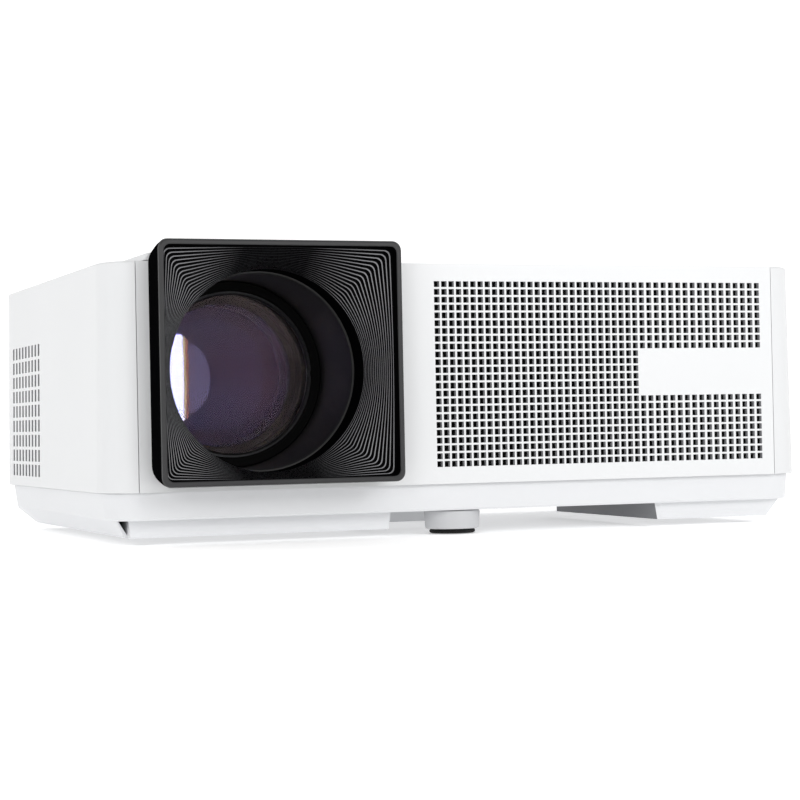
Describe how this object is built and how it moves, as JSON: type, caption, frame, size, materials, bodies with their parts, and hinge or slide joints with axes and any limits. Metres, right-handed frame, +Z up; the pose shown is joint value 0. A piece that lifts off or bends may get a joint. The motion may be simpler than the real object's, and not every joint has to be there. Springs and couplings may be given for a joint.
{
  "type": "home projector",
  "caption": "Low, wide white home projector with a square black lens hood at the left of its front, a perforated front panel, side vents, rear sockets, top keys and a screw foot.",
  "frame": {"origin": "middle of the bounding box's floor, on the surface that the rubber pads stand on", "axes": "+Z up, the lens looks along -Y, +X to the right of someone looking at the front from outside"},
  "size_m": [0.32, 0.2276, 0.1219],
  "materials": {
    "white_abs": "satin moulded, fine texture",
    "panel_white": "satin moulded, perforated",
    "hood_black": "moulded black with fine stepped grooves",
    "matt_black": "matt moulded black",
    "rear_grey": "matt dark grey",
    "key_grey": "satin light grey",
    "foot_white": "satin light grey",
    "rubber_black": "matt rubber",
    "ring_aluminium": "bead blasted and anodised",
    "coated_glass": "polished, violet coating",
    "optic_plate": "clear plate",
    "mirror_glass": "front-silvered",
    "heat_aluminium": "extruded, plain",
    "led_copper": "copper-clad board with a lamp on it",
    "circuit_board": "solder mask green",
    "plated_steel": "bright nickel plate",
    "screw_steel": "zinc plated",
    "screen_mesh": "fine grey mesh",
    "socket_blue": "satin blue",
    "ir_dark": "dark infrared-clear"
  },
  "bodies": {
    "casing": {"top_cover": "white_abs", "base_tub": "white_abs", "front_panel": "panel_white", "rear_panel": "rear_grey", "dust_screen": "screen_mesh", "lens_hood": "hood_black", "lens_sleeve": "matt_black", "light_box": "matt_black", "light_box_lid": "matt_black", "fresnel_front": "optic_plate", "lcd_panel": "optic_plate", "fresnel_rear": "optic_plate", "fold_mirror": "mirror_glass", "condenser_lens": "optic_plate", "led_module": "led_copper", "heat_sink": "heat_aluminium", "intake_fan_frame": "matt_black", "exhaust_fan_frame": "matt_black", "main_board": "circuit_board", "power_supply_board": "circuit_board", "keypad_board": "circuit_board", "hdmi_socket_1": "plated_steel", "hdmi_socket_2": "plated_steel", "usb_socket_1": "plated_steel", "usb_socket_2": "plated_steel", "av_jack": "matt_black", "headphone_jack": "matt_black", "vga_socket": "socket_blue", "power_inlet": "matt_black", "ir_window": "ir_dark", "speaker_left": "matt_black", "speaker_right": "matt_black", "foot_nut": "plated_steel", "rear_pad_left": "rubber_black", "rear_pad_right": "rubber_black", "screw_front_left": "screw_steel", "screw_front_right": "screw_steel", "screw_rear_left": "screw_steel", "screw_rear_right": "screw_steel"},
    "focus_ring": {"focus_ring": "matt_black"},
    "lens_group": {"lens_barrel": "matt_black", "front_lens": "coated_glass", "lens_retaining_ring": "ring_aluminium", "second_lens": "coated_glass", "rear_lens": "coated_glass"},
    "foot_pad": {"front_foot_pad": "rubber_black"},
    "foot_screw": {"front_foot_knob": "foot_white"},
    "intake_rotor": {"intake_fan_rotor": "matt_black"},
    "exhaust_rotor": {"exhaust_fan_rotor": "matt_black"},
    "key_ok": {"key_ok": "key_grey"},
    "key_up": {"key_up": "key_grey"},
    "key_down": {"key_down": "key_grey"},
    "key_left": {"key_left": "key_grey"},
    "key_right": {"key_right": "key_grey"},
    "key_power": {"key_power": "key_grey"},
    "key_source": {"key_source": "key_grey"}
  },
  "joints": [
    {"name": "focus_turn", "type": "hinge", "parent": "casing", "child": "focus_ring", "pos_m": [-0.09, -0.013, 0.07], "axis": [0, 1, 0], "range_deg": [-40, 40]},
    {"name": "lens_focus", "type": "slide", "parent": "casing", "child": "lens_group", "axis": [0, 1, 0], "range_m": [-0.004, 0.004]},
    {"name": "foot_lower", "type": "slide", "parent": "casing", "child": "foot_pad", "axis": [0, 0, -1], "range_m": [0, 0.015]},
    {"name": "foot_turn", "type": "hinge", "parent": "foot_pad", "child": "foot_screw", "pos_m": [-0.005, -0.0792, 0.006], "axis": [0, 0, -1], "range_deg": [0, 3600]},
    {"name": "intake_spin", "type": "hinge", "parent": "casing", "child": "intake_rotor", "pos_m": [-0.147, 0.064, 0.057], "axis": [1, 0, 0], "continuous": true},
    {"name": "exhaust_spin", "type": "hinge", "parent": "casing", "child": "exhaust_rotor", "pos_m": [0.12, 0.059, 0.07], "axis": [1, 0, 0], "continuous": true},
    {"name": "press_ok", "type": "slide", "parent": "casing", "child": "key_ok", "axis": [0, 0, -1], "range_m": [0, 0.0006], "stiffness_N_per_m": 400},
    {"name": "press_up", "type": "slide", "parent": "casing", "child": "key_up", "axis": [0, 0, -1], "range_m": [0, 0.0006], "stiffness_N_per_m": 400},
    {"name": "press_down", "type": "slide", "parent": "casing", "child": "key_down", "axis": [0, 0, -1], "range_m": [0, 0.0006], "stiffness_N_per_m": 400},
    {"name": "press_left", "type": "slide", "parent": "casing", "child": "key_left", "axis": [0, 0, -1], "range_m": [0, 0.0006], "stiffness_N_per_m": 400},
    {"name": "press_right", "type": "slide", "parent": "casing", "child": "key_right", "axis": [0, 0, -1], "range_m": [0, 0.0006], "stiffness_N_per_m": 400},
    {"name": "press_power", "type": "slide", "parent": "casing", "child": "key_power", "axis": [0, 0, -1], "range_m": [0, 0.0006], "stiffness_N_per_m": 400},
    {"name": "press_source", "type": "slide", "parent": "casing", "child": "key_source", "axis": [0, 0, -1], "range_m": [0, 0.0006], "stiffness_N_per_m": 400}
  ],
  "couplings": [
    {"joint": "lens_focus", "follows": "focus_turn", "m_per_rad": 0.0057296},
    {"joint": "foot_lower", "follows": "foot_turn", "m_per_rad": 0.00023873}
  ]
}
